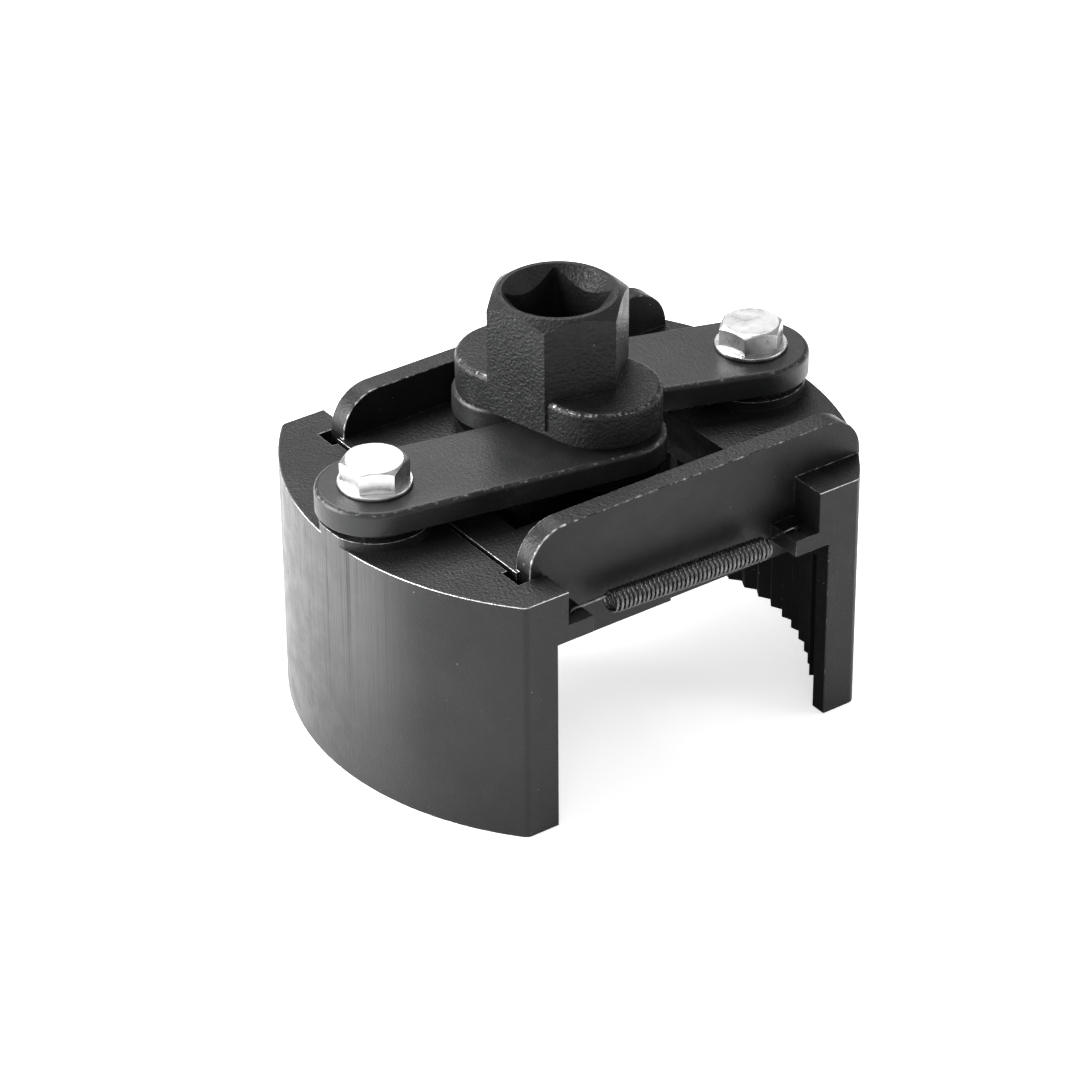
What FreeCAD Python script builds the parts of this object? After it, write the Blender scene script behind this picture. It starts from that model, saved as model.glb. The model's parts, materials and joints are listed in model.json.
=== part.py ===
"""Self-centring two-jaw oil filter wrench, 1/2 inch square drive, 80 to 100 mm filters.

Frame: +Z up, origin on the resting plane under the centre of the two jaws.
X is the direction in which the jaws slide, the left jaw is on the -X side and
the front of the tool is on the -Y side.  All sizes are millimetres.
"""
import FreeCAD, Part
import math
import os
import Sketcher

V = FreeCAD.Vector
doc = FreeCAD.newDocument("OilFilterWrench")

# ---------------------------------------------------------------- driving sizes
SIZES = {
    # jaws
    "outer_radius": 52.0,
    "outer_shift": 5.5,
    "outer_corner": 1.6,
    "tooth_tip_radius": 40.45,
    "tooth_root_radius": 41.65,
    "tooth_count": 14,
    "tooth_pitch": 5.3,
    "lip_depth": 0.2,
    "jaw_height": 43.5,
    "jaw_half_width": 34.9,
    "jaw_tip_end": 27.0,
    "roof_bottom": 29.6,
    "roof_edge": 29.1,
    "post_end": 24.9,
    "lug_end": 20.2,
    "lug_bottom": 34.4,
    "lug_top": 37.4,
    "right_lug_drop": 1.2,
    "lug_hole_reach": 22.7,
    "lug_hole_radius": 0.7,
    "boss_radius": 9.2,
    "boss_top": 45.1,
    # guide rails and deck of the right jaw
    "rail_inner": 24.5,
    "rail_outer": 28.3,
    "rail_bottom": 29.1,
    "rail_top": 51.1,
    "rail_left": 27.7,
    "rail_right": 38.4,
    "rail_corner": 7.0,
    "deck_bottom": 38.0,
    "deck_left": 28.3,
    "window_half_length": 20.9,
    "window_half_width": 14.8,
    # tongue of the left jaw, which runs in grooves of the rails
    "slot_end": 30.1,
    "slot_play": 0.3,
    "groove_bottom": 30.2,
    "groove_top": 34.2,
    "groove_depth": 1.6,
    "tongue_reach": 12.0,
    "tongue_play": 0.15,
    "tongue_root": 2.0,
    # drive; its axis has settled a little off centre in the play of the window
    "drive_x": 0.1,
    "drive_y": 2.75,
    "crank_throw": 11.2,
    "crank_angle": 76.0,
    "lobe_throw": 9.0,
    "lobe_radius": 10.1,
    "crank_bottom": 51.9,
    "crank_top": 58.1,
    "crank_round": 1.0,
    "hex_flats": 21.1,
    "hex_top": 72.2,
    "rim_radius": 9.9,
    "rim_slope": 2.25,
    "head_shaft_radius": 13.0,
    "socket_side": 12.8,
    "socket_turn": 12.3,
    "socket_floor": 53.8,
    "socket_mouth": 9.1,
    "socket_corner": 1.1,
    "mouth_tip": 0.1,
    # lower crank plate, slide block, retainer
    "lower_bottom": 43.8,
    "lower_top": 45.6,
    "hub_radius": 9.0,
    "hub_bottom": 34.7,
    "hub_play": 0.05,
    "block_half_length": 10.6,
    "block_half_width": 11.8,
    "block_bottom": 38.1,
    "block_top": 43.6,
    "retainer_half_length": 12.5,
    "retainer_half_width": 19.8,
    "retainer_bottom": 36.4,
    "retainer_top": 37.8,
    "ring_bottom": 35.2,
    "ring_top": 36.3,
    "ring_radius": 11.0,
    "ring_groove_radius": 8.1,
    "ring_gap": 5.0,
    # crank pins
    "pin_radius": 4.0,
    "pin_top": 56.4,
    "spacer_radius": 6.5,
    "spacer_bottom": 51.0,
    # links
    "bolt_reach": 37.6,
    "link_radius": 9.8,
    "link_pin_end": 9.1,
    "link_bottom": 46.5,
    "link_top": 50.8,
    "link_round": 0.9,
    "link_pin_hole": 5.3,
    "bush_radius": 4.5,
    "bush_play": 0.05,
    # M6 bolts
    "bolt_radius": 3.0,
    "bolt_play": 0.05,
    "bolt_end": 31.4,
    "bolt_flats": 9.8,
    "left_bolt_turn": -29.3,
    "right_bolt_turn": -18.1,
    "bolt_head": 3.8,
    "bolt_crown_radius": 5.9,
    "bolt_crown_drop": 0.7,
    "bolt_crown_inset": 1.25,
    "washer_radius": 6.1,
    "washer_bottom": 50.9,
    "washer_top": 51.6,
    # tension springs
    "spring_radius": 2.0,
    "spring_y": 31.9,
    "spring_level": 35.75,
    "spring_half_length": 15.9,
    "spring_shift": 0.7,
    "wire_radius": 0.28,
    "wire_level": 37.75,
    "hook_drop": 4.2,
    # how far cutting tools and hidden joins run past the faces they meet
    "overrun": 1.0,
}

sheet = doc.addObject("Spreadsheet::Sheet", "Sizes")
for row, (alias, value) in enumerate(SIZES.items(), start=1):
    sheet.set("A%d" % row, alias)
    sheet.set("B%d" % row, str(value))
    sheet.setAlias("B%d" % row, alias)
doc.recompute()


def size(alias):
    """Value of one cell of the sheet."""
    return float(sheet.get(alias))


def cells(expression):
    """Write the sheet's name before every alias in an expression."""
    words = sorted(SIZES, key=len, reverse=True)
    out = ""
    i = 0
    while i < len(expression):
        starts = i == 0 or not (expression[i - 1].isalnum() or expression[i - 1] == "_")
        hit = next((w for w in words if starts and expression.startswith(w, i)), None)
        if hit:
            out += "Sizes." + hit
            i += len(hit)
        else:
            out += expression[i]
            i += 1
    return out


def bind(obj, **properties):
    """Bind properties to expressions of the sheet; a double underscore stands for a dot."""
    for name, expression in properties.items():
        obj.setExpression(name.replace("__", "."), cells(str(expression)))


# ---------------------------------------------------------------- primitives and booleans
def box(name, x0, x1, y0, y1, z0, z1):
    """Box between two corners, each coordinate an expression."""
    obj = doc.addObject("Part::Box", name)
    bind(obj, Length="(%s) - (%s)" % (x1, x0), Width="(%s) - (%s)" % (y1, y0),
         Height="(%s) - (%s)" % (z1, z0))
    bind(obj, Placement__Base__x=x0, Placement__Base__y=y0, Placement__Base__z=z0)
    return obj


def cylinder(name, radius, z0, z1, x="0", y="0"):
    """Upright cylinder."""
    obj = doc.addObject("Part::Cylinder", name)
    bind(obj, Radius=radius, Height="(%s) - (%s)" % (z1, z0))
    bind(obj, Placement__Base__x=x, Placement__Base__y=y, Placement__Base__z=z0)
    return obj


def cylinder_x(name, radius, x0, x1, y, z):
    """Cylinder that lies along X."""
    obj = doc.addObject("Part::Cylinder", name)
    obj.Placement = FreeCAD.Placement(V(0, 0, 0), FreeCAD.Rotation(V(0, 1, 0), 90))
    bind(obj, Radius=radius, Height="(%s) - (%s)" % (x1, x0))
    bind(obj, Placement__Base__x=x0, Placement__Base__y=y, Placement__Base__z=z)
    return obj


def cone(name, radius0, radius1, z0, z1, x="0", y="0"):
    """Upright cone between two levels."""
    obj = doc.addObject("Part::Cone", name)
    bind(obj, Radius1=radius0, Radius2=radius1, Height="(%s) - (%s)" % (z1, z0))
    bind(obj, Placement__Base__x=x, Placement__Base__y=y, Placement__Base__z=z0)
    return obj


def hexagon(name, flats, z0, z1, turn, x="0", y="0"):
    """Upright hexagonal prism, one corner at the angle turn."""
    obj = doc.addObject("Part::Prism", name)
    obj.Polygon = 6
    obj.Placement = FreeCAD.Placement(V(0, 0, 0), FreeCAD.Rotation(V(0, 0, 1), turn))
    bind(obj, Circumradius="(%s) / 2 / cos(30)" % flats, Height="(%s) - (%s)" % (z1, z0))
    bind(obj, Placement__Base__x=x, Placement__Base__y=y, Placement__Base__z=z0)
    return obj


def fuse(name, *pieces):
    """Union of several solids, with the seams between coplanar faces removed."""
    obj = doc.addObject("Part::MultiFuse", name)
    obj.Shapes = list(pieces)
    obj.Refine = True
    return obj


def cut(name, base, *tools):
    """Base without the tools."""
    tool = tools[0] if len(tools) == 1 else fuse(name + "Tools", *tools)
    obj = doc.addObject("Part::Cut", name)
    obj.Base = base
    obj.Tool = tool
    return obj


def common(name, *pieces):
    """What all the pieces share."""
    obj = doc.addObject("Part::MultiCommon", name)
    obj.Shapes = list(pieces)
    return obj


def fillet(name, base, radius, chosen):
    """Round the edges of base for which chosen(edge) holds."""
    doc.recompute()
    obj = doc.addObject("Part::Fillet", name)
    obj.Base = base
    numbers = [i for i, edge in enumerate(base.Shape.Edges, start=1) if chosen(edge)]
    obj.Edges = [(i, size(radius), size(radius)) for i in numbers]
    return obj


def at_level(edge, level):
    """True for an edge that lies in the plane z = level."""
    bounds = edge.BoundBox
    return abs(bounds.ZMin - level) < 1e-4 and abs(bounds.ZMax - level) < 1e-4


def node(obj, label):
    """Give a finished sub-part its name."""
    obj.Label = label
    nodes.append(obj)
    return obj


nodes = []


# ---------------------------------------------------------------- the two jaws
def toothed_hollow(name, side):
    """Space that the filter takes: a half disc whose round side has the V teeth."""
    tip = size("tooth_tip_radius")
    root = size("tooth_root_radius")
    pitch = math.radians(size("tooth_pitch"))
    count = int(size("tooth_count"))
    first = -count * pitch / 2
    points = []
    for step in range(2 * count + 1):
        radius = root if step % 2 else tip
        angle = first + step * pitch / 2
        points.append(V(side * radius * math.cos(angle), radius * math.sin(angle), 0))
    sketch = doc.addObject("Sketcher::SketchObject", name + "Profile")
    for start, end in zip(points, points[1:]):
        sketch.addGeometry(Part.LineSegment(start, end), False)
    # plain ends of the bite, a little further out than the roots of the teeth
    lip = root + size("lip_depth")
    lip_angle = abs(first)
    for way, end in ((-1, points[0]), (1, points[-1])):
        corner = V(side * lip * math.cos(lip_angle), way * lip * math.sin(lip_angle), 0)
        half = (lip_angle + math.pi / 2) / 2
        middle = V(side * lip * math.cos(half), way * lip * math.sin(half), 0)
        pole = V(0, way * lip, 0)
        sketch.addGeometry(Part.LineSegment(end, corner), False)
        sketch.addGeometry(Part.Arc(corner, middle, pole), False)
    sketch.addGeometry(Part.LineSegment(V(0, -lip, 0), V(0, lip, 0)), False)
    hollow = doc.addObject("Part::Extrusion", name)
    hollow.Base = sketch
    hollow.DirMode = "Custom"
    hollow.Dir = V(0, 0, 1)
    hollow.Solid = True
    bind(hollow, LengthFwd="roof_bottom")
    return hollow


def lug_levels(side):
    """Lower and upper level of a jaw's spring lugs, which sit lower on the right jaw."""
    drop = " - right_lug_drop" if side > 0 else ""
    return "lug_bottom" + drop, "lug_top" + drop


def jaw_blank(name, side):
    """Forged jaw before the guides are made: crescent, two posts, two lugs and a boss."""
    def span(near, far):
        """X interval between two distances from the centre on this jaw's side."""
        return (near, far) if side > 0 else ("-(%s)" % far, "-(%s)" % near)

    arc_place = "%d * outer_shift" % -side
    disc = cylinder(name + "Disc", "outer_radius", "0", "jaw_height", x=arc_place)
    strip = box(name + "Strip", *span("jaw_tip_end", "outer_radius"), "-jaw_half_width", "jaw_half_width",
                "0", "jaw_height")
    flank = size("jaw_half_width")

    def outer_corner(edge):
        bounds = edge.BoundBox
        upright = bounds.ZLength > 1 and bounds.XLength + bounds.YLength < 1e-4
        outside = abs(bounds.XMin) > size("jaw_tip_end") + size("overrun")
        return upright and outside and abs(abs(bounds.YMin) - flank) < 1e-4

    low, high = lug_levels(side)
    parts = [fillet(name + "Crescent", common(name + "Outline", disc, strip), "outer_corner", outer_corner)]
    for way, tag in ((-1, "Front"), (1, "Rear")):
        inner, outer = ("-jaw_half_width", "-rail_outer") if way < 0 else ("rail_outer", "jaw_half_width")
        parts.append(box(name + tag + "Post", *span("post_end", "slot_end"), inner, outer, low, "jaw_height"))
        parts.append(box(name + tag + "Lug", *span("lug_end", "post_end + overrun"), inner, outer, low, high))
    round_boss = cylinder(name + "RoundBoss", "boss_radius", "jaw_height - overrun", "boss_top",
                          x="%d * bolt_reach" % side)
    limit = cylinder(name + "BossLimit", "outer_radius", "0", "boss_top", x=arc_place)
    parts.append(common(name + "Boss", round_boss, limit))
    return fuse(name + "Blank", *parts)


def jaw_holes(name, side):
    """Filter space, tapped bolt hole and spring holes of one jaw."""
    reach = "bolt_reach" if side > 0 else "-bolt_reach"
    hole = "lug_hole_reach" if side > 0 else "-lug_hole_reach"
    low, high = lug_levels(side)
    tools = [toothed_hollow(name + "Hollow", side)]
    tools.append(cylinder(name + "BoltHole", "bolt_radius", "bolt_end", "boss_top + overrun", x=reach))
    for y, tag in (("-spring_y", "Front"), ("spring_y", "Rear")):
        tools.append(cylinder(name + tag + "SpringHole", "lug_hole_radius", low + " - overrun",
                              high + " + overrun", x=hole, y=y))
    return tools


def build_right_jaw():
    """Jaw forged in one piece with the deck and the two guide rails."""
    parts = [jaw_blank("RightJaw", 1)]
    parts.append(box("Deck", "-deck_left", "jaw_tip_end + overrun", "-rail_inner - overrun",
                     "rail_inner + overrun", "deck_bottom", "jaw_height"))
    for way, tag in ((-1, "Front"), (1, "Rear")):
        inner, outer = ("-rail_outer", "-rail_inner") if way < 0 else ("rail_inner", "rail_outer")
        bar = box(tag + "Bar", "-rail_left", "rail_right", inner, outer, "rail_bottom", "rail_top")
        top = size("rail_top")

        def end_corner(edge):
            return at_level(edge, top) and edge.BoundBox.XLength < 1e-4

        parts.append(fillet(tag + "Rail", bar, "rail_corner", end_corner))
    tools = jaw_holes("RightJaw", 1)
    tools.append(box("Window", "-window_half_length", "window_half_length", "-window_half_width",
                     "window_half_width", "deck_bottom - overrun", "jaw_height + overrun"))
    groove_ends = ("-rail_left - overrun", "jaw_tip_end")
    tools.append(box("FrontGroove", *groove_ends, "-rail_inner - groove_depth", "-rail_inner",
                     "groove_bottom", "groove_top"))
    tools.append(box("RearGroove", *groove_ends, "rail_inner", "rail_inner + groove_depth",
                     "groove_bottom", "groove_top"))
    node(cut("RightJaw", fuse("RightJawSolid", *parts), *tools), "right_jaw")


def build_left_jaw():
    """Jaw that slides on the rails with its tongue in their grooves."""
    tools = jaw_holes("LeftJaw", -1)
    top = "rail_top"
    tools.append(box("LeftInnerEdge", "-roof_edge", "0", "-rail_inner", "rail_inner", "roof_bottom", top))
    tools.append(box("FrontSlot", "-slot_end", "0", "-rail_outer - slot_play", "-rail_inner + slot_play",
                     "rail_bottom - slot_play", top))
    tools.append(box("RearSlot", "-slot_end", "0", "rail_inner - slot_play", "rail_outer + slot_play",
                     "rail_bottom - slot_play", top))
    body = cut("LeftJawBody", jaw_blank("LeftJaw", -1), *tools)
    low = "groove_bottom + tongue_play"
    high = "groove_top - tongue_play"
    plate = box("TonguePlate", "-slot_end - tongue_root", "tongue_reach", "-rail_inner + slot_play",
                "rail_inner - slot_play", low, high)
    edge = "rail_inner + groove_depth - tongue_play"
    runner = box("TongueRunner", "-slot_end - tongue_root", "tongue_reach", "-(%s)" % edge, edge, low, high)
    node(fuse("LeftJaw", body, plate, runner), "left_jaw")


# ---------------------------------------------------------------- drive
AXIS = ("drive_x", "drive_y")


def crank_outline(name, lobe_radius, z0, z1):
    """Two lobes and the bar between them, along the crank's long axis."""
    parts = []
    for way, tag in ((1, "Front"), (-1, "Rear")):
        parts.append(cylinder(name + tag + "Lobe", lobe_radius, z0, z1,
                              x="drive_x + %d * lobe_throw * cos(crank_angle)" % way,
                              y="drive_y - %d * lobe_throw * sin(crank_angle)" % way))
    bar = doc.addObject("Part::Box", name + "Bar")
    bind(bar, Length="2 * lobe_throw", Width="2 * (%s)" % lobe_radius, Height="(%s) - (%s)" % (z1, z0))
    bar.Placement = FreeCAD.Placement(V(0, 0, 0), FreeCAD.Rotation(V(0, 0, 1), -size("crank_angle")))
    bind(bar, Placement__Base__z=z0,
         Placement__Base__x="drive_x - lobe_throw * cos(crank_angle) - (%s) * sin(crank_angle)" % lobe_radius,
         Placement__Base__y="drive_y + lobe_throw * sin(crank_angle) - (%s) * cos(crank_angle)" % lobe_radius)
    parts.append(bar)
    return fuse(name + "Outline", *parts)


def pin_place(way):
    """X and Y expressions of a crank pin: +1 is the front pin, -1 the rear one."""
    return ("drive_x + %d * crank_throw * cos(crank_angle)" % way,
            "drive_y - %d * crank_throw * sin(crank_angle)" % way)


def build_drive():
    """Hexagonal head with the square socket, forged on the crank plate."""
    level = size("crank_top")
    plate = fillet("CrankPlate", crank_outline("Crank", "lobe_radius", "crank_bottom", "crank_top"),
                   "crank_round", lambda edge: at_level(edge, level))
    prism = hexagon("Head", "hex_flats", "crank_bottom + overrun", "hex_top", 60 - size("crank_angle"), *AXIS)
    wide = "head_shaft_radius"
    turned = fuse("HeadTurning", cylinder("HeadShaft", wide, "crank_bottom", "hex_top - rim_slope", *AXIS),
                  cone("HeadChamfer", wide, "rim_radius", "hex_top - rim_slope", "hex_top", *AXIS))
    solid = fuse("DriveSolid", plate, common("HeadBody", prism, turned))
    square = doc.addObject("Part::Box", "Square")
    bind(square, Length="socket_side", Width="socket_side", Height="hex_top - socket_floor + overrun")
    square.Placement = FreeCAD.Placement(V(0, 0, 0), FreeCAD.Rotation(V(0, 0, 1), size("socket_turn")))
    bind(square, Placement__Base__z="socket_floor",
         Placement__Base__x="drive_x - socket_side / 2 * (cos(socket_turn) - sin(socket_turn))",
         Placement__Base__y="drive_y - socket_side / 2 * (cos(socket_turn) + sin(socket_turn))")

    def square_corner(edge):
        bounds = edge.BoundBox
        return bounds.ZLength > size("socket_side")

    rounded_square = fillet("RoundedSquare", square, "socket_corner", square_corner)
    mouth = cone("Mouth", "mouth_tip", "socket_mouth", "hex_top - socket_mouth + mouth_tip", "hex_top", *AXIS)
    tools = [rounded_square, mouth]
    for way, tag in ((1, "Front"), (-1, "Rear")):
        x, y = pin_place(way)
        tools.append(cylinder(tag + "PinBore", "pin_radius", "crank_bottom - overrun", "pin_top", x=x, y=y))
    node(cut("Drive", solid, *tools), "drive_head")


def build_lower_plate():
    """Lower crank plate and the hub under it, which turns in the slide block."""
    plate = crank_outline("Lower", "lobe_radius", "lower_bottom", "lower_top")
    bores = []
    for way, tag in ((1, "Front"), (-1, "Rear")):
        x, y = pin_place(way)
        bores.append(cylinder(tag + "LowerBore", "pin_radius", "lower_bottom - overrun",
                              "lower_top + overrun", x=x, y=y))
    node(cut("LowerPlate", plate, *bores), "lower_crank_plate")
    hub = cylinder("HubSolid", "hub_radius", "hub_bottom", "lower_bottom", *AXIS)
    band = cut("RingGroove", cylinder("RingBand", "hub_radius + overrun", "ring_bottom", "ring_top", *AXIS),
               cylinder("RingCore", "ring_groove_radius", "ring_bottom - overrun", "ring_top + overrun", *AXIS))
    node(cut("Hub", hub, band), "pivot_hub")


def build_crank_pins():
    """Pins on which the links turn, each with a spacer between its link and the crank plate."""
    for way, tag in ((1, "front"), (-1, "rear")):
        x, y = pin_place(way)
        node(cylinder(tag + "Pin", "pin_radius", "lower_bottom", "pin_top", x=x, y=y), tag + "_crank_pin")
        disc = cylinder(tag + "SpacerDisc", "spacer_radius", "spacer_bottom", "crank_bottom", x=x, y=y)
        bore = cylinder(tag + "SpacerBore", "pin_radius", "lower_bottom", "pin_top", x=x, y=y)
        node(cut(tag + "Spacer", disc, bore), tag + "_spacer")


def build_slide():
    """Block that slides in the deck's window, the plate under it and the snap ring."""
    bore = cylinder("BlockBore", "hub_radius + hub_play", "0", "hex_top", *AXIS)
    block = box("BlockSolid", "drive_x - block_half_length", "drive_x + block_half_length",
                "drive_y - block_half_width", "drive_y + block_half_width", "block_bottom", "block_top")
    node(cut("Block", block, bore), "slide_block")
    plate_bore = cylinder("PlateBore", "hub_radius + hub_play", "0", "hex_top", *AXIS)
    plate = box("RetainerSolid", "drive_x - retainer_half_length", "drive_x + retainer_half_length",
                "drive_y - retainer_half_width", "drive_y + retainer_half_width",
                "retainer_bottom", "retainer_top")
    node(cut("Retainer", plate, plate_bore), "retainer_plate")
    disc = cylinder("RingDisc", "ring_radius", "ring_bottom", "ring_top", *AXIS)
    core = cylinder("RingHole", "ring_groove_radius", "ring_bottom - overrun", "ring_top + overrun", *AXIS)
    opening = box("RingOpening", "drive_x", "drive_x + ring_radius + overrun", "drive_y - ring_gap / 2",
                  "drive_y + ring_gap / 2", "ring_bottom - overrun", "ring_top + overrun")
    node(cut("SnapRing", disc, core, opening), "snap_ring")


# ---------------------------------------------------------------- links
def link_reach(side):
    """Expression of the distance from a jaw's bolt to its crank pin."""
    along = "bolt_reach - %d * drive_x + crank_throw * cos(crank_angle)" % side
    across = "drive_y + %d * crank_throw * sin(crank_angle)" % side
    return "sqrt((%s)^2 + (%s)^2)" % (along, across)


def link_turn(side):
    """Direction in degrees from a jaw's bolt to its crank pin."""
    angle = math.radians(size("crank_angle"))
    along = size("drive_x") - side * (size("bolt_reach") + size("crank_throw") * math.cos(angle))
    across = size("drive_y") + side * size("crank_throw") * math.sin(angle)
    return math.degrees(math.atan2(across, along))


def origin_plane(body, role):
    """One of the body's own origin planes."""
    return next(f for f in body.Origin.OriginFeatures if f.Role == role)


def new_sketch(body, name):
    """Sketch on the body's XY plane."""
    sketch = body.newObject("Sketcher::SketchObject", name)
    sketch.AttachmentSupport = [(origin_plane(body, "XY_Plane"), "")]
    sketch.MapMode = "FlatFace"
    return sketch


def link_sketch(body, name, side):
    """Tapered outline from the bolt eye at the origin to the pin eye on +X."""
    sketch = new_sketch(body, name)
    big = size("link_radius")
    small = size("link_pin_end")
    reach = size("bolt_reach")
    quarter = math.pi / 2
    up = V(0, 0, 1)
    sketch.addGeometry([
        Part.ArcOfCircle(Part.Circle(V(0, 0, 0), up, big), quarter, 3 * quarter),
        Part.LineSegment(V(0, -big, 0), V(reach, -small, 0)),
        Part.ArcOfCircle(Part.Circle(V(reach, 0, 0), up, small), -quarter, quarter),
        Part.LineSegment(V(reach, small, 0), V(0, big, 0)),
    ], False)
    rule = Sketcher.Constraint
    sketch.addConstraint([
        rule("Tangent", 0, 2, 1, 1),
        rule("Tangent", 1, 2, 2, 1),
        rule("Tangent", 2, 2, 3, 1),
        rule("Tangent", 3, 2, 0, 1),
        rule("Coincident", 0, 3, -1, 1),
        rule("PointOnObject", 2, 3, -1),
        rule("Radius", 0, big),
        rule("Radius", 2, small),
        rule("DistanceX", 0, 3, 2, 3, reach),
    ])
    sketch.setExpression("Constraints[6]", cells("link_radius"))
    sketch.setExpression("Constraints[7]", cells("link_pin_end"))
    sketch.setExpression("Constraints[8]", cells(link_reach(side)))
    return sketch


def bolt_eye_sketch(body, name):
    """Circle of the bolt eye, on the origin."""
    sketch = new_sketch(body, name)
    radius = size("bush_radius")
    sketch.addGeometry(Part.Circle(V(0, 0, 0), V(0, 0, 1), radius), False)
    rule = Sketcher.Constraint
    sketch.addConstraint([rule("Coincident", 0, 3, -1, 1), rule("Radius", 0, radius)])
    sketch.setExpression("Constraints[1]", cells("bush_radius + bush_play"))
    return sketch


def pin_eye_sketch(body, name, side):
    """Circle of the pin eye, on the X axis of the link."""
    sketch = new_sketch(body, name)
    radius = size("link_pin_hole")
    reach = size("bolt_reach")
    sketch.addGeometry(Part.Circle(V(reach, 0, 0), V(0, 0, 1), radius), False)
    rule = Sketcher.Constraint
    sketch.addConstraint([rule("PointOnObject", 0, 3, -1), rule("Radius", 0, radius),
                          rule("DistanceX", -1, 1, 0, 3, reach)])
    sketch.setExpression("Constraints[1]", cells("link_pin_hole"))
    sketch.setExpression("Constraints[2]", cells(link_reach(side)))
    return sketch


def build_link(label, side):
    """Flat link from a jaw's bolt to its crank pin, rounded along the top edge."""
    body = doc.addObject("PartDesign::Body", label + "_body")
    bar = body.newObject("PartDesign::Pad", label + "_bar")
    bar.Profile = link_sketch(body, label + "_outline", side)
    bind(bar, Length="link_top - link_bottom")
    doc.recompute()
    top = size("link_top") - size("link_bottom")
    rim = [i for i, edge in enumerate(bar.Shape.Edges, start=1) if at_level(edge, top)]
    rounded = body.newObject("PartDesign::Fillet", label + "_rounded")
    rounded.Base = (bar, ["Edge%d" % i for i in rim])
    bind(rounded, Radius="link_round")
    doc.recompute()
    eyes = (("bolt_eye", bolt_eye_sketch(body, label + "_bolt_circle")),
            ("pin_eye", pin_eye_sketch(body, label + "_pin_circle", side)))
    for tag, circle in eyes:
        before = body.Shape.Volume
        eye = body.newObject("PartDesign::Pocket", label + "_" + tag)
        eye.Profile = circle
        eye.Type = "ThroughAll"
        eye.Reversed = True
        doc.recompute()
        if body.Shape.Volume >= before:
            raise ValueError(label + ": " + tag + " cuts nothing")
    place = V(side * size("bolt_reach"), 0, size("link_bottom"))
    body.Placement = FreeCAD.Placement(place, FreeCAD.Rotation(V(0, 0, 1), link_turn(side)))
    node(body, label)


# ---------------------------------------------------------------- fasteners
def build_fasteners():
    """Bush, washer and M6 bolt of each jaw pivot."""
    for side, tag in ((-1, "left"), (1, "right")):
        x = "%d * bolt_reach" % side
        turn = size(tag + "_bolt_turn")
        sleeve = cylinder(tag + "Sleeve", "bush_radius", "boss_top", "washer_bottom", x=x)
        inside = cylinder(tag + "SleeveBore", "bolt_radius + bolt_play", "0", "hex_top", x=x)
        node(cut(tag + "Bush", sleeve, inside), tag + "_bush")
        disc = cylinder(tag + "Disc", "washer_radius", "washer_bottom", "washer_top", x=x)
        hole = cylinder(tag + "DiscBore", "bolt_radius + bolt_play", "0", "hex_top", x=x)
        node(cut(tag + "Washer", disc, hole), tag + "_washer")
        head_top = "washer_top + bolt_head"
        head = hexagon(tag + "Hex", "bolt_flats", "washer_top", head_top, turn, x=x)
        wide = "bolt_crown_radius"
        shoulder = head_top + " - bolt_crown_drop"
        crown = fuse(tag + "Crown", cylinder(tag + "CrownLow", wide, "washer_top", shoulder, x=x),
                     cone(tag + "CrownTop", wide, wide + " - bolt_crown_inset", shoulder, head_top, x=x))
        shank = cylinder(tag + "Shank", "bolt_radius", "bolt_end", "washer_top + overrun", x=x)
        node(fuse(tag + "Bolt", common(tag + "HeadSolid", head, crown), shank), tag + "_bolt")


# ---------------------------------------------------------------- springs
def build_springs():
    """Outline of each tension spring: closed coils and the two hooks through the lugs."""
    for way, tag in ((-1, "front"), (1, "rear")):
        y = "%d * spring_y" % way
        coil = cylinder_x(tag + "Coil", "spring_radius", "spring_shift - spring_half_length",
                          "spring_shift + spring_half_length", y, "spring_level")
        wire = cylinder_x(tag + "Wire", "wire_radius", "-lug_hole_reach", "lug_hole_reach", y, "wire_level")
        hooks = []
        for side, end, foot in ((-1, "Left", "wire_level - hook_drop"),
                                (1, "Right", "wire_level - hook_drop - right_lug_drop")):
            hooks.append(cylinder(tag + end + "Hook", "wire_radius", foot, "wire_level",
                                  x="%d * lug_hole_reach" % side, y=y))
        node(fuse(tag + "Spring", coil, wire, *hooks), tag + "_spring")


build_right_jaw()
build_left_jaw()
build_drive()
build_lower_plate()
build_crank_pins()
build_slide()
build_link("left_link", -1)
build_link("right_link", 1)
build_fasteners()
build_springs()
doc.recompute()

for item in doc.Objects:
    if "Invalid" in item.State or "Error" in item.State:
        raise ValueError("failed object: " + item.Name)
for item in nodes:
    if item.Shape.isNull() or not item.Shape.isValid():
        raise ValueError("bad shape: " + item.Label)

os.makedirs("parts", exist_ok=True)
for item in nodes:
    item.Shape.exportStep("parts/%s.step" % item.Label)
    bounds = item.Shape.BoundBox
    print("%-18s solids %d volume %9.1f  x %.2f %.2f  y %.2f %.2f  z %.2f %.2f" % (
        item.Label, len(item.Shape.Solids), item.Shape.Volume, bounds.XMin, bounds.XMax,
        bounds.YMin, bounds.YMax, bounds.ZMin, bounds.ZMax))
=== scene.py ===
"""Looks of the self-centring oil filter wrench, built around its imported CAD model."""
import bpy
import bmesh
import json
import math
from mathutils import Matrix, Vector

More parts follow.
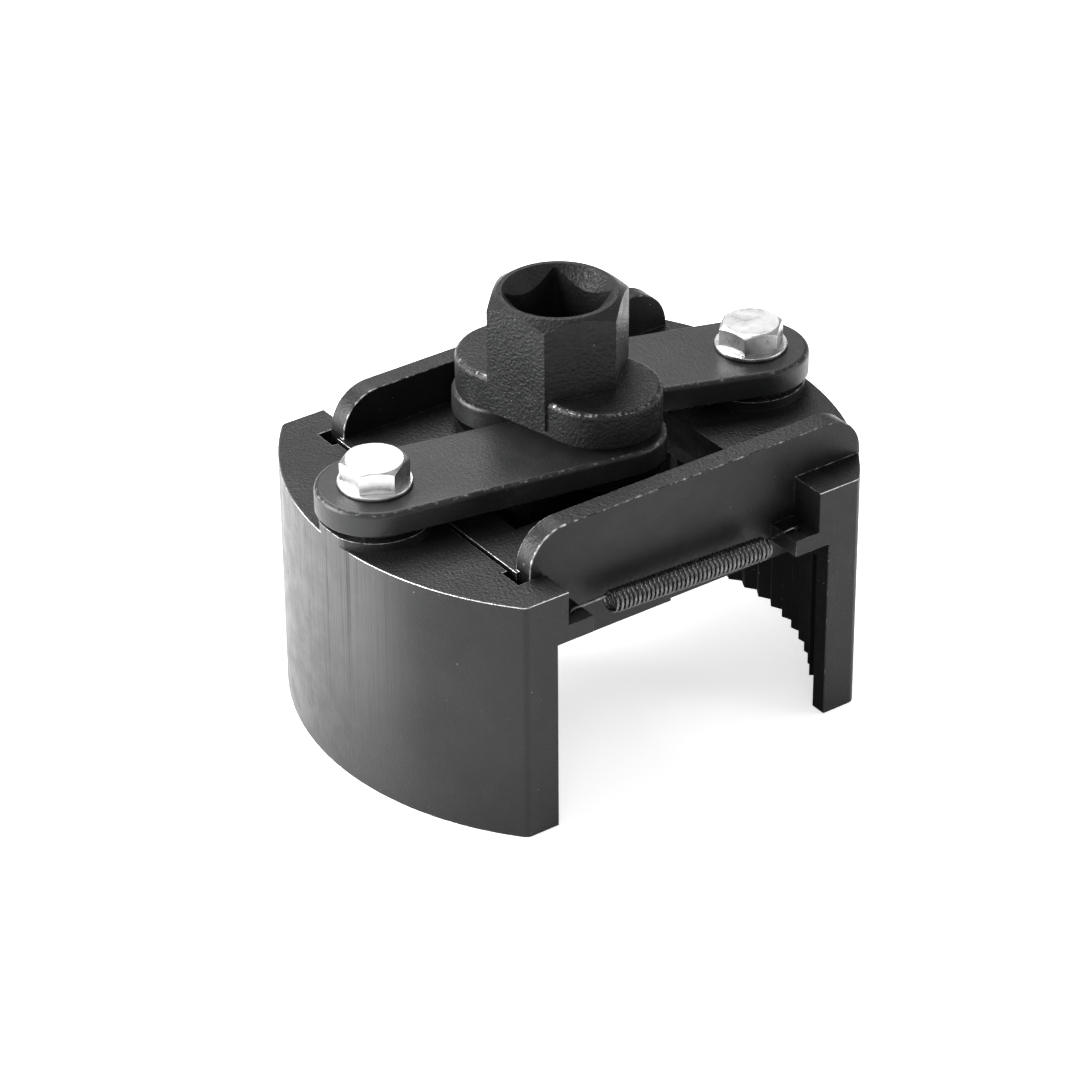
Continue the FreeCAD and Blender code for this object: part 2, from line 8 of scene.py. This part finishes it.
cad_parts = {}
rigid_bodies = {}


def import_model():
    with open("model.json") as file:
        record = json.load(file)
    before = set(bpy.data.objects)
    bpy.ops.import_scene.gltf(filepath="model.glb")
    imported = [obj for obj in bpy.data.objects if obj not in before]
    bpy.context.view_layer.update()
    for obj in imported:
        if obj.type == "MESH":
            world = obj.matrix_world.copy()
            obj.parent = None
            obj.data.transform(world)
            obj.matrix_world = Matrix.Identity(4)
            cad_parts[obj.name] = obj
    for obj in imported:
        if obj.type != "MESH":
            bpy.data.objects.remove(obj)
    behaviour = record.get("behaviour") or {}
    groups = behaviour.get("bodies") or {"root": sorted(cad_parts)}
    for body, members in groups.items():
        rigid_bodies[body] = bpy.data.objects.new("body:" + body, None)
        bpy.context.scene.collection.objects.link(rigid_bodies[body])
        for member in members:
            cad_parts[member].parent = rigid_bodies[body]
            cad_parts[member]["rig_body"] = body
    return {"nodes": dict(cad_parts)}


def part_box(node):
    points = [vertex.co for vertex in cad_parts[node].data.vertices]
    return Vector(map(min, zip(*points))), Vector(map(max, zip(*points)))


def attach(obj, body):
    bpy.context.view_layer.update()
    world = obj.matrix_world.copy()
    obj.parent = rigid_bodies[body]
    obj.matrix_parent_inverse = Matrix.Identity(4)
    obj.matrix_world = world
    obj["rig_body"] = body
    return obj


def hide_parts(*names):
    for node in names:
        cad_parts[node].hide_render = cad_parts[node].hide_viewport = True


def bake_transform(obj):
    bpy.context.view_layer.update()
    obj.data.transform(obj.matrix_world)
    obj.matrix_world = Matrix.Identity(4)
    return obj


for leftover in list(bpy.data.objects):
    bpy.data.objects.remove(leftover)
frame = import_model()
bpy.context.view_layer.update()
MM = 0.001
scene = bpy.context.scene

# sizes of the tool in millimetres
ARC_RADIUS = 52.0
ARC_SHIFT = 5.5
JAW_TOP = 43.5
JAW_HALF_WIDTH = 34.9
ROOF = 29.6
TEETH_OUTSIDE = 42.4
RAIL_INNER = 24.5
RAIL_OUTER = 28.3
RAIL_END = 38.4
DECK_LEFT = 28.3
BOLT_REACH = 37.6
BOSS_RADIUS = 9.2
WINDOW_HALF_LENGTH = 20.9
WINDOW_HALF_WIDTH = 14.8
RETAINER_TOP = 37.8
DRIVE_X = 0.1
DRIVE_Y = 2.75
CRANK_BOTTOM = 51.9
CRANK_TOP = 58.1


# ---------------------------------------------------------------- node helpers
class Graph:
    """A material's node tree, with short calls for the nodes used here."""

    def __init__(self, name):
        self.material = bpy.data.materials.new(name)
        self.material.use_nodes = True
        self.tree = self.material.node_tree
        self.tree.nodes.clear()
        self.output = self.tree.nodes.new("ShaderNodeOutputMaterial")
        self.shader = self.tree.nodes.new("ShaderNodeBsdfPrincipled")
        self.link(self.shader.outputs["BSDF"], self.output.inputs["Surface"])
        self.place = self.tree.nodes.new("ShaderNodeTexCoord").outputs["Object"]

    def link(self, source, target):
        self.tree.links.new(source, target)

    def feed(self, socket, value):
        """Link value to the socket, or write it there when it is a plain number or colour."""
        if isinstance(value, bpy.types.NodeSocket):
            self.link(value, socket)
        else:
            socket.default_value = value

    def noise(self, scale, detail=3.0, roughness=0.5, place=None):
        node = self.tree.nodes.new("ShaderNodeTexNoise")
        self.link(place or self.place, node.inputs["Vector"])
        node.inputs["Scale"].default_value = scale
        node.inputs["Detail"].default_value = detail
        node.inputs["Roughness"].default_value = roughness
        return node.outputs["Fac"]

    def cells(self, scale, smooth):
        """Distance to the nearest of many scattered points, smoothed."""
        node = self.tree.nodes.new("ShaderNodeTexVoronoi")
        node.feature = "SMOOTH_F1"
        node.inputs["Smoothness"].default_value = smooth
        self.link(self.place, node.inputs["Vector"])
        node.inputs["Scale"].default_value = scale
        return node.outputs["Distance"]

    def math(self, operation, a, b=0.5, clamp=False):
        node = self.tree.nodes.new("ShaderNodeMath")
        node.operation = operation
        node.use_clamp = clamp
        self.feed(node.inputs[0], a)
        self.feed(node.inputs[1], b)
        return node.outputs[0]

    def spread(self, value, low, high, out_low=0.0, out_high=1.0):
        """Map the interval low..high smoothly to out_low..out_high."""
        node = self.tree.nodes.new("ShaderNodeMapRange")
        node.interpolation_type = "SMOOTHSTEP"
        self.feed(node.inputs["Value"], value)
        limits = {"From Min": low, "From Max": high, "To Min": out_low, "To Max": out_high}
        for name, number in limits.items():
            self.feed(node.inputs[name], number)
        return node.outputs["Result"]

    def mix(self, factor, a, b):
        node = self.tree.nodes.new("ShaderNodeMix")
        node.data_type = "RGBA"
        self.feed(node.inputs["Factor"], factor)
        self.feed(node.inputs["A"], a)
        self.feed(node.inputs["B"], b)
        return node.outputs["Result"]

    def stretched(self, x, y, z):
        """Object place with its axes scaled."""
        node = self.tree.nodes.new("ShaderNodeVectorMath")
        node.operation = "MULTIPLY"
        self.link(self.place, node.inputs[0])
        node.inputs[1].default_value = (x, y, z)
        return node.outputs["Vector"]

    def attribute(self, name):
        node = self.tree.nodes.new("ShaderNodeAttribute")
        node.attribute_name = name
        return node.outputs["Fac"]

    def split(self, vector):
        node = self.tree.nodes.new("ShaderNodeSeparateXYZ")
        self.link(vector, node.inputs[0])
        return node.outputs

    def normal(self):
        return self.tree.nodes.new("ShaderNodeNewGeometry").outputs["True Normal"]

    def bump(self, height, distance, strength=1.0):
        node = self.tree.nodes.new("ShaderNodeBump")
        self.link(height, node.inputs["Height"])
        node.inputs["Distance"].default_value = distance
        node.inputs["Strength"].default_value = strength
        return node.outputs["Normal"]

    def finish(self, colour, metallic, roughness, normal=None):
        inputs = self.shader.inputs
        self.feed(inputs["Base Color"], colour)
        self.feed(inputs["Metallic"], metallic)
        self.feed(inputs["Roughness"], roughness)
        if normal is not None:
            self.link(normal, inputs["Normal"])
        return self.material


def grey(level, tint=0.0):
    """Neutral colour, a touch cooler with a positive tint."""
    return (level * (1 - tint), level, level * (1 + tint), 1.0)


# ---------------------------------------------------------------- materials
def black_oxide(name, grain, grain_scale, rough, level, shine=0.3, ground_with_painted_highlight=False):
    """Black oxide over a forged or stamped skin, worn to bare steel along its edges; on the crank's top
    fillet and the jaws' arcs part of the lighter colour is a painted highlight.
    """
    g = Graph(name)
    g.shader.inputs["Specular IOR Level"].default_value = shine
    broad = g.noise(45, 3)
    patch = g.noise(260, 5, 0.6)
    fine = g.noise(grain_scale, 3, 0.5)
    pebble = g.cells(grain_scale * 0.75, 0.8)
    colour = g.mix(g.spread(broad, 0.35, 0.65), grey(level * 0.75, 0.03), grey(level * 1.3, 0.02))
    colour = g.mix(g.spread(patch, 0.5, 0.8, 0.0, 0.4), colour, grey(level * 2.2, 0.01))
    dots = g.spread(g.noise(1900, 1, 0.4), 0.8, 0.85, 0.0, 0.5)
    colour = g.mix(dots, colour, grey(0.25))
    # the wear attribute gives worn bare steel, and on the crank's top fillet a painted highlight
    edge = g.attribute("wear")
    broken = g.math("ADD", g.math("MULTIPLY", edge, 0.62), g.math("MULTIPLY", g.noise(950, 5, 0.7), 0.8))
    rub_and_highlight = g.math("MULTIPLY", g.spread(broken, 0.6, 0.93), g.spread(edge, 0.02, 0.2), clamp=True)
    roughness = g.spread(patch, 0.3, 0.7, rough - 0.05, rough + 0.07)
    height = g.math("ADD", g.math("MULTIPLY", fine, 0.75), g.math("MULTIPLY", pebble, -0.6))
    # jaws: grind marks on the outer arc, with a painted highlight on its lit half
    if ground_with_painted_highlight:
        flat = g.spread(g.math("ABSOLUTE", g.split(g.normal())[2]), 0.3, 0.8, 0.35, 1.0)
        height = g.math("MULTIPLY", height, flat)
        height, colour = grind_marks_and_painted_highlight(g, height, colour)
    colour = g.mix(rub_and_highlight, colour, g.mix(fine, grey(0.36), grey(0.66)))
    roughness = g.mix(rub_and_highlight, roughness, grey(0.36))
    normal = g.bump(height, grain * MM)
    return g.finish(colour, rub_and_highlight, roughness, normal)


def grind_marks_and_painted_highlight(g, height, colour):
    """Upright grind marks on the outer arc of each jaw, densest on one half and towards the top; the same
    mask lightens that half's colour towards the top as a painted highlight.
    """
    x, y, z = g.split(g.place)
    from_axis = g.math("ADD", g.math("ABSOLUTE", x), ARC_SHIFT * MM)
    radius = g.math("SQRT", g.math("ADD", g.math("MULTIPLY", from_axis, from_axis), g.math("MULTIPLY", y, y)))
    outside = g.spread(radius, (ARC_RADIUS - 0.4) * MM, (ARC_RADIUS - 0.1) * MM)
    turned = g.math("MULTIPLY", y, g.math("SIGN", x))
    half = g.spread(turned, 6 * MM, 22 * MM, 1.0, 0.0)
    high = g.spread(z, 4 * MM, 36 * MM, 0.2, 1.0)
    area = g.math("MULTIPLY", g.math("MULTIPLY", half, high), outside)
    lines = g.noise(1.0, 4, 0.75, g.stretched(1500, 1500, 16))
    bands = g.noise(1.0, 2, 0.5, g.stretched(300, 300, 9))
    mark = g.math("MULTIPLY", g.spread(lines, 0.5, 0.68, 0.0, 0.85), g.spread(bands, 0.35, 0.65, 0.2, 1.0))
    # painted highlight: lighter colour over the lit half of the arc, strongest towards the top; the darker
    # lines below are the real marks
    painted_highlight_colour = g.mix(g.math("MULTIPLY", area, 0.75), colour, grey(0.045))
    colour = g.mix(g.math("MULTIPLY", mark, area), painted_highlight_colour, grey(0.004))
    smoother = g.math("MULTIPLY", height, g.spread(area, 0.0, 0.5, 1.0, 0.3))
    height = g.math("SUBTRACT", smoother, g.math("MULTIPLY", g.math("MULTIPLY", lines, area), 0.8))
    return height, colour


def bright_zinc():
    """Zinc plate with small scuffs and a faint cloudiness."""
    g = Graph("bright_zinc_plate")
    cloud = g.noise(320, 4, 0.6)
    scratch = g.noise(1.0, 3, 0.7, g.stretched(500, 4200, 700))
    colour = g.mix(g.spread(cloud, 0.35, 0.7), grey(0.44, 0.005), grey(0.54, 0.0))
    colour = g.mix(g.spread(g.noise(1300, 3), 0.6, 0.7, 0.0, 0.35), colour, grey(0.35))
    roughness = g.spread(g.math("ADD", g.math("MULTIPLY", cloud, 0.6), g.math("MULTIPLY", scratch, 0.4)),
                         0.3, 0.7, 0.24, 0.38)
    height = g.math("ADD", g.math("MULTIPLY", scratch, 0.35), g.noise(900, 4, 0.6))
    return g.finish(colour, 1.0, roughness, g.bump(height, 0.012 * MM, 0.7))


def spring_wire():
    """Black drawn wire with a dull gloss."""
    g = Graph("spring_wire")
    mottle = g.noise(900, 3)
    colour = g.mix(g.spread(mottle, 0.35, 0.65), grey(0.06), grey(0.12))
    roughness = g.spread(mottle, 0.3, 0.7, 0.2, 0.32)
    return g.finish(colour, 0.9, roughness, g.bump(g.noise(3000, 2), 0.004 * MM, 0.6))


MATERIALS = {
    "forging": black_oxide("forged_black_oxide", 0.17, 2500, 0.38, 0.007, 0.15),
    "jaw": black_oxide("jaw_black_oxide", 0.12, 2500, 0.42, 0.006, 0.18, ground_with_painted_highlight=True),
    # painted shade: a darker, duller copy of the black oxide for hollows, the window and parts under the
    # deck, where little light reaches
    "inside": black_oxide("painted_shade_black_oxide", 0.05, 2700, 0.7, 0.003, 0.03),
    "plate": black_oxide("plate_black_oxide", 0.04, 2700, 0.38, 0.009, 0.25),
    "zinc": bright_zinc(),
    "wire": spring_wire(),
}


# ---------------------------------------------------------------- finished copies of CAD pieces
def edge_width(edge, rules):
    """Rounding of one sharp edge in millimetres: the first rule that fits, or the last value."""
    middle = (edge.verts[0].co + edge.verts[1].co) / 2 / MM
    along = (edge.verts[1].co - edge.verts[0].co).normalized()
    for fits, width in rules[:-1]:
        if fits(middle, along):
            return width
    return rules[-1]


def finished(node, material, rules, wear=lambda p: 0.4, crest_wear_and_highlight=None, segments=3, sharp=24):
    """Piece with a CAD node's shape and rounded edges, which carry the attribute wear."""
    bm = bmesh.new()
    bm.from_mesh(frame["nodes"][node].data)
    bmesh.ops.remove_doubles(bm, verts=bm.verts, dist=2e-6)
    bmesh.ops.dissolve_limit(bm, angle_limit=math.radians(0.6), verts=bm.verts, edges=bm.edges)
    weight = bm.edges.layers.float.new("bevel_weight_edge")
    widest = 0.001
    for edge in bm.edges:
        if len(edge.link_faces) == 2 and edge.calc_face_angle() > math.radians(sharp):
            edge[weight] = edge_width(edge, rules)
            widest = max(widest, edge[weight])
    for edge in bm.edges:
        edge[weight] /= widest
    mesh = bpy.data.meshes.new(node + "_base")
    bm.to_mesh(mesh)
    bm.free()
    mesh.materials.append(MATERIALS[material])
    mesh.materials.append(MATERIALS[material])
    base = bpy.data.objects.new(node + "_base", mesh)
    scene.collection.objects.link(base)
    bevel = base.modifiers.new("rounding", "BEVEL")
    bevel.limit_method = "WEIGHT"
    bevel.width = widest * MM
    bevel.segments = segments
    bevel.material = 1
    bevel.use_clamp_overlap = True
    bevel.miter_outer = "MITER_SHARP"
    even = base.modifiers.new("normals", "WEIGHTED_NORMAL")
    even.weight = 80
    for face in mesh.polygons:
        face.use_smooth = True
    depsgraph = bpy.context.evaluated_depsgraph_get()
    result = bpy.data.meshes.new_from_object(base.evaluated_get(depsgraph))
    mark_wear_and_highlight(result, wear, crest_wear_and_highlight)
    piece = bpy.data.objects.new(node + "_piece", result)
    scene.collection.objects.link(piece)
    bpy.data.objects.remove(base)
    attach(piece, frame["nodes"][node]["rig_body"])
    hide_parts(node)
    return piece


def mark_wear_and_highlight(mesh, wear, crest_wear_and_highlight):
    """Write the corner attribute wear: 1 along the ridge of a rounded outer edge, 0 on plain faces unless a
    value is given for them; that value on the crank's top fillet is a painted highlight.
    """
    bm = bmesh.new()
    bm.from_mesh(mesh)
    levels = []
    for face in bm.faces:
        amount = 0.0
        if face.material_index == 1:
            turns = [e.calc_face_angle_signed(0.0) for e in face.edges if len(e.link_faces) == 2]
            outer = sum(turns) > 0.05
            beside = any(f.material_index == 0 for e in face.edges for f in e.link_faces)
            if outer:
                amount = wear(face.calc_center_median() / MM) * (0.75 if beside else 1.0)
        elif crest_wear_and_highlight:
            amount = crest_wear_and_highlight(face.calc_center_median() / MM, face.normal)
        levels += [amount] * len(face.loops)
    bm.free()
    attribute = mesh.attributes.new("wear", "FLOAT", "CORNER")
    attribute.data.foreach_set("value", levels)
    for face in mesh.polygons:
        face.material_index = 0
    mesh.materials.pop(index=1)


def shade_inside(piece):
    """Give the filter space, the window and the faces under the deck a darker, duller black oxide as painted
    shade.
    """
    piece.data.materials.append(MATERIALS["inside"])
    for face in piece.data.polygons:
        p = face.center / MM
        bite = math.hypot(p.x, p.y) < TEETH_OUTSIDE and p.z < ROOF + 0.2 and abs(face.normal.y) < 0.97
        under = abs(p.y) < RAIL_INNER + 1.7 and abs(p.x) < DECK_LEFT + 0.7 and p.z < RETAINER_TOP + 0.4
        in_length = abs(p.x) < WINDOW_HALF_LENGTH + 0.3
        window = in_length and abs(p.y) < WINDOW_HALF_WIDTH + 0.3 and p.z < JAW_TOP - 0.2
        if bite or under or window:
            face.material_index = 1


def beside_rail(p):
    """True for a place within the width of a guide rail, or just beside it."""
    return RAIL_INNER - 0.5 < abs(p.y) < RAIL_OUTER + 0.7


def from_bolt(p):
    """Distance from the axis of the nearer jaw's bolt."""
    return math.hypot(abs(p.x) - BOLT_REACH, p.y)


def jaw_rules():
    """Edge roundings of the jaws: full on the outline and the rails, fine on the teeth."""
    def tooth(p, along):
        return abs(p.x) > 26 and math.hypot(p.x, p.y) < TEETH_OUTSIDE + 0.1 and p.z < ROOF + 0.2

    def foot(p, along):
        return p.z < 0.2

    def rail(p, along):
        return p.z > JAW_TOP + 0.1 and beside_rail(p) and abs(along.y) < 0.1

    def junction(p, along):
        return abs(p.z - JAW_TOP) < 0.1 and beside_rail(p) and p.x > 27

    def lug(p, along):
        return abs(p.x) < 25.5 and abs(p.y) > RAIL_OUTER - 0.1 and 34 < p.z < 38

    def boss(p, along):
        return p.z > JAW_TOP - 0.1 and abs(from_bolt(p) - BOSS_RADIUS) < 0.4

    def tip(p, along):
        return abs(along.z) > 0.9 and abs(p.y) > 30 and abs(p.x) < 28

    return [(tooth, 0.14), (foot, 0.9), (junction, 0.7), (rail, 1.15), (lug, 0.3), (boss, 0.35),
            (tip, 0.8), 0.5]


def jaw_wear(p):
    """How worn the jaws' edges are: most on the outer top edges and the rounded ends of the rails."""
    top_edge = 43 < p.z < JAW_TOP + 0.2
    if RAIL_END - 2.4 < p.x < RAIL_END + 1.6 and 26 < abs(p.y) < 30 and 28 < p.z < 43:
        return 0.0
    if p.z < 1.5:
        return 0.55
    if p.z < ROOF - 0.6:
        return 0.3
    if top_edge and math.hypot(p.x, p.y) > 43:
        return 0.95 if p.y < 12 else 0.5
    if top_edge and p.y < 0.9 - JAW_HALF_WIDTH:
        return 0.9
    if p.z > 44.5 and from_bolt(p) < 10:
        return 0.6
    if p.z > 44 and p.x < -20:
        return 0.62
    if p.z > 43 and p.x < -26:
        return 0.75
    return 0.45


def drive_rules():
    """Edge roundings of the drive head: the foot of the hexagon, its corners and the crank's underside."""
    def foot(p, along):
        return abs(p.z - CRANK_TOP) < 0.1

    def corner(p, along):
        outside = math.hypot(p.x - DRIVE_X, p.y - DRIVE_Y) > 11.5
        return abs(along.z) > 0.9 and outside and p.z > CRANK_TOP - 0.1

    def under(p, along):
        return p.z < CRANK_BOTTOM + 0.1

    return [(foot, 1.1), (corner, 0.35), (under, 0.5), 0.22]


shade_inside(finished("right_jaw", "jaw", jaw_rules(), jaw_wear))
shade_inside(finished("left_jaw", "jaw", jaw_rules(), jaw_wear))
# the crank's top fillet gets a bare-steel colour band from the last argument: a painted highlight
finished("drive_head", "forging", drive_rules(), lambda p: 0.4,
         lambda p, n: 0.36 if CRANK_TOP - 1.2 < p.z < CRANK_TOP + 0.1 and 0.5 < n.z < 0.92 else 0.0)
for part in ("front_crank_pin", "rear_crank_pin", "front_spacer", "rear_spacer"):
    finished(part, "plate", [0.2])
# painted shade: these parts sit under the crank and the deck and take the darker material
for part in ("lower_crank_plate", "pivot_hub", "slide_block", "retainer_plate"):
    finished(part, "inside", [0.2], lambda p: 0.2)
for part in ("left_link", "right_link"):
    finished(part, "plate", [0.3], lambda p: 0.3, lambda p, n: 0.3 if 0.55 < n.z < 0.9 else 0.0)
finished("snap_ring", "wire", [0.15])
for side in ("left", "right"):
    finished(side + "_bush", "zinc", [0.15])
    finished(side + "_washer", "zinc", [0.15])
    finished(side + "_bolt", "zinc", [0.2])


# ---------------------------------------------------------------- tension springs
WIRE = 0.26
TURNS = 37
STEPS = 20
CAD_WIRE = 0.28
COIL_LEVEL = 35.7
COIL_CENTRE = 0.7
COIL_HALF_LENGTH = 15.9
COIL_DROP = 0.9
COIL_LEAN = 0.45


def spring(node):
    """Close helix with a straight hook wire at each end, which drops into the jaw's lug."""
    low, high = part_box(node)
    middle = (low.y + high.y) / 2 / MM
    reach = (high.x - low.x) / 2 / MM - CAD_WIRE
    top = high.z / MM - CAD_WIRE
    foot = low.z / MM + 0.3
    radius = (high.y - low.y) / 2 / MM - WIRE
    right_top = top - 1.0
    start = COIL_CENTRE - COIL_HALF_LENGTH + WIRE
    end = COIL_CENTRE + COIL_HALF_LENGTH - WIRE
    points = [(-reach, middle, foot), (-reach, middle, foot + 2.4), (-reach + 0.12, middle, top - 0.5),
              (-reach + 0.5, middle, top - 0.08), (-reach + 1.2, middle, top)]
    points += [(start - 1.2, middle, top + 0.05)]
    total = TURNS * STEPS
    for i in range(total + 1):
        turn = 2 * math.pi * i / STEPS
        share = i / total
        ends = min(i, total - i) / STEPS
        swell = min(1.0, 0.75 + 0.25 * ends)
        lower = COIL_DROP * (share - 0.5)
        aside = COIL_LEAN * (share - 0.5)
        points.append((start + (end - start) * share, middle - aside + radius * swell * math.sin(turn),
                       COIL_LEVEL - lower + radius * swell * math.cos(turn)))
    points += [(reach - 1.2, middle, right_top), (reach - 0.5, middle, right_top - 0.08),
               (reach - 0.12, middle, right_top - 0.5), (reach, middle, foot + 1.4), (reach, middle, foot)]
    curve = bpy.data.curves.new(node + "_line", "CURVE")
    curve.dimensions = "3D"
    curve.bevel_depth = WIRE * MM
    curve.bevel_resolution = 3
    curve.use_fill_caps = True
    line = curve.splines.new("POLY")
    line.points.add(len(points) - 1)
    for point, place in zip(line.points, points):
        point.co = (place[0] * MM, place[1] * MM, place[2] * MM, 1)
    holder = bpy.data.objects.new(node + "_line", curve)
    scene.collection.objects.link(holder)
    mesh = bpy.data.meshes.new_from_object(holder.evaluated_get(bpy.context.evaluated_depsgraph_get()))
    for face in mesh.polygons:
        face.use_smooth = True
    mesh.materials.clear()
    mesh.materials.append(MATERIALS["wire"])
    piece = bpy.data.objects.new(node + "_coils", mesh)
    scene.collection.objects.link(piece)
    bpy.data.objects.remove(holder)
    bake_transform(piece)
    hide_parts(node)
    return piece


spring("front_spring")
spring("rear_spring")


# ---------------------------------------------------------------- stage, light, camera
def stage_floor():
    """Pale plain floor, lit a little from within so that it stays white around the tool."""
    g = Graph("studio_floor")
    colour = g.mix(g.noise(2, 2), grey(0.86), grey(0.88))
    material = g.finish(colour, 0.0, 0.9)
    g.shader.inputs["Emission Color"].default_value = grey(1.0)
    g.shader.inputs["Emission Strength"].default_value = 0.6
    mesh = bpy.data.meshes.new("floor")
    bm = bmesh.new()
    bmesh.ops.create_grid(bm, x_segments=2, y_segments=2, size=3.0)
    bm.to_mesh(mesh)
    bm.free()
    mesh.materials.append(material)
    floor = bpy.data.objects.new("floor", mesh)
    floor.location.z = -0.0001
    scene.collection.objects.link(floor)


def softbox(name, place, size, power, target=(0, 0, 0.03)):
    """Square area light that faces the target."""
    data = bpy.data.lights.new(name, "AREA")
    data.shape = "SQUARE"
    data.size = size
    data.energy = power
    lamp = bpy.data.objects.new(name, data)
    lamp.location = place
    lamp.rotation_euler = (Vector(target) - Vector(place)).to_track_quat("-Z", "Y").to_euler()
    scene.collection.objects.link(lamp)


def camera():
    """Camera at the viewing angle of the product shot."""
    azimuth, elevation, roll = math.radians(-35.22), math.radians(31.9), math.radians(-0.44)
    back = Vector((math.sin(azimuth) * math.cos(elevation), -math.cos(azimuth) * math.cos(elevation),
                   math.sin(elevation)))
    right = Vector((math.cos(azimuth), math.sin(azimuth), 0))
    up = back.cross(right)
    across = right * math.cos(roll) + up * math.sin(roll)
    over = up * math.cos(roll) - right * math.sin(roll)
    target = Vector((-3.02, 3.82, 25.55)) * MM
    place = target + back * 727.05 * MM
    data = bpy.data.cameras.new("camera")
    data.sensor_width = 36
    data.lens = 146.1
    data.clip_start = 0.01
    holder = bpy.data.objects.new("camera", data)
    holder.matrix_world = Matrix((
        (across.x, over.x, back.x, place.x),
        (across.y, over.y, back.y, place.y),
        (across.z, over.z, back.z, place.z),
        (0, 0, 0, 1)))
    scene.collection.objects.link(holder)
    scene.camera = holder


stage_floor()
softbox("left", (-0.95, 0.45, 0.35), 0.9, 54)
softbox("front_left", (-0.55, -0.75, 0.55), 0.5, 2)
softbox("right", (0.75, -0.6, 0.3), 0.6, 4)
softbox("top", (0.15, 0.6, 1.0), 0.8, 19)
world = bpy.data.worlds.new("studio")
scene.world = world
world.use_nodes = True
world.node_tree.nodes["Background"].inputs["Color"].default_value = grey(1.0)
world.node_tree.nodes["Background"].inputs["Strength"].default_value = 0.5
camera()
scene.view_settings.view_transform = "Standard"

bpy.context.view_layer.update()
